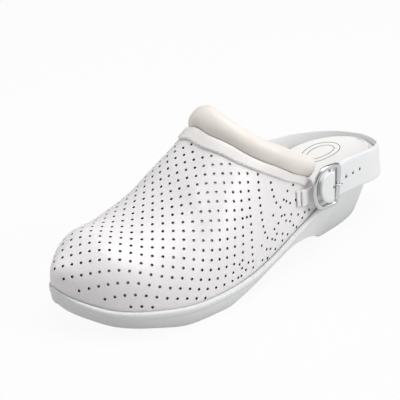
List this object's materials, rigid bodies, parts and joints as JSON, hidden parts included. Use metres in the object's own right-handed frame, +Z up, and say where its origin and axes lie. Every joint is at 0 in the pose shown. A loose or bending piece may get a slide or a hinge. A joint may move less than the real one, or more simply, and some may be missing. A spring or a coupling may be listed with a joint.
{
  "type": "slip-on clog with heel strap",
  "caption": "Left slip-on clog with a perforated leather upper, padded collar, buckled heel strap and a one-piece sole with low heel.",
  "frame": {"origin": "centre of the footprint's bounding box, on the ground", "axes": "+X towards the toe, +Y towards the outer side of the left foot, +Z up"},
  "size_m": [0.2552, 0.096, 0.1018],
  "materials": {
    "sole": "satin moulded polyurethane",
    "lining": "smooth matt",
    "leather": "fine grain, semi-gloss",
    "padding": "soft, satin",
    "buckle": "polished"
  },
  "bodies": {
    "root": {"sole": "sole", "insole": "lining", "upper": "leather", "collar": "padding", "collar_band": "leather", "heel_strap": "leather", "buckle_tab": "leather", "buckle_frame": "buckle", "buckle_prong": "buckle"}
  },
  "joints": []
}
